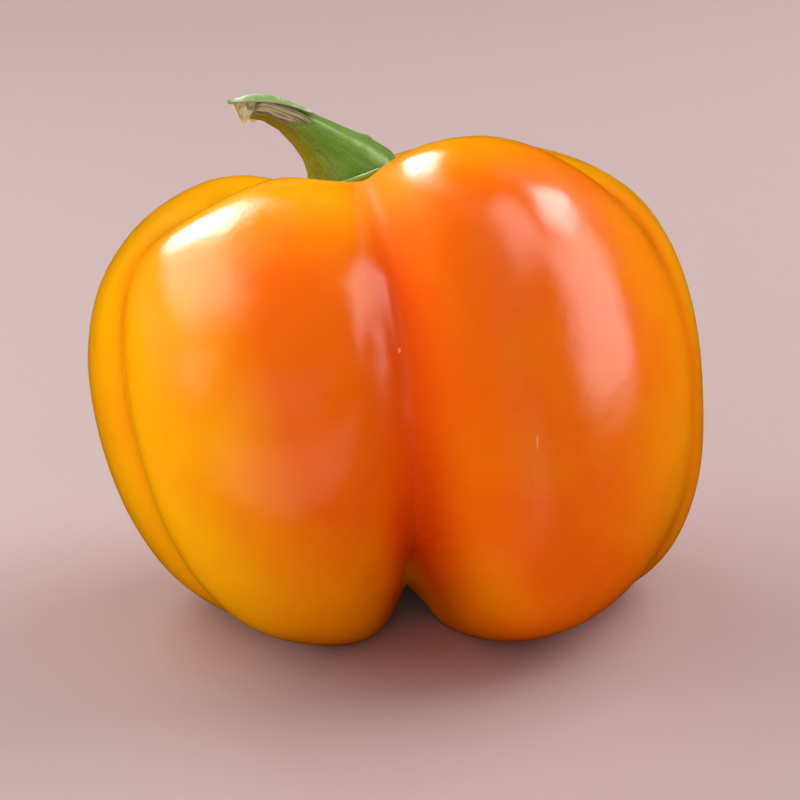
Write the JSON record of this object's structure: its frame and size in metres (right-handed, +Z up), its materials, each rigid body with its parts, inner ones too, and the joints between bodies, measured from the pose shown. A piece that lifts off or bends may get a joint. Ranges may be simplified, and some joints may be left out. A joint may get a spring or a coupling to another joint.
{
  "type": "bell pepper",
  "caption": "Ripe orange bell pepper with four uneven lobes, a green calyx in its dimple and a curved cut stem, standing on the tips of its lobes.",
  "frame": {"origin": "on the ground under the centre of the part's box", "axes": "+Z up, -Y the front with the groove between the two tall lobes, +X to the right seen from the front"},
  "size_m": [0.0912, 0.0909, 0.0768],
  "materials": {
    "fruit_skin": "glossy waxy orange skin, yellower on the sides and redder in the grooves",
    "calyx_green": "satin fresh green",
    "stem_green": "matte green with a light bloom, olive yellow along its lower side, grey beige fibres at the torn end"
  },
  "bodies": {
    "root": {"fruit": "fruit_skin", "calyx": "calyx_green", "stem": "stem_green"}
  },
  "joints": []
}
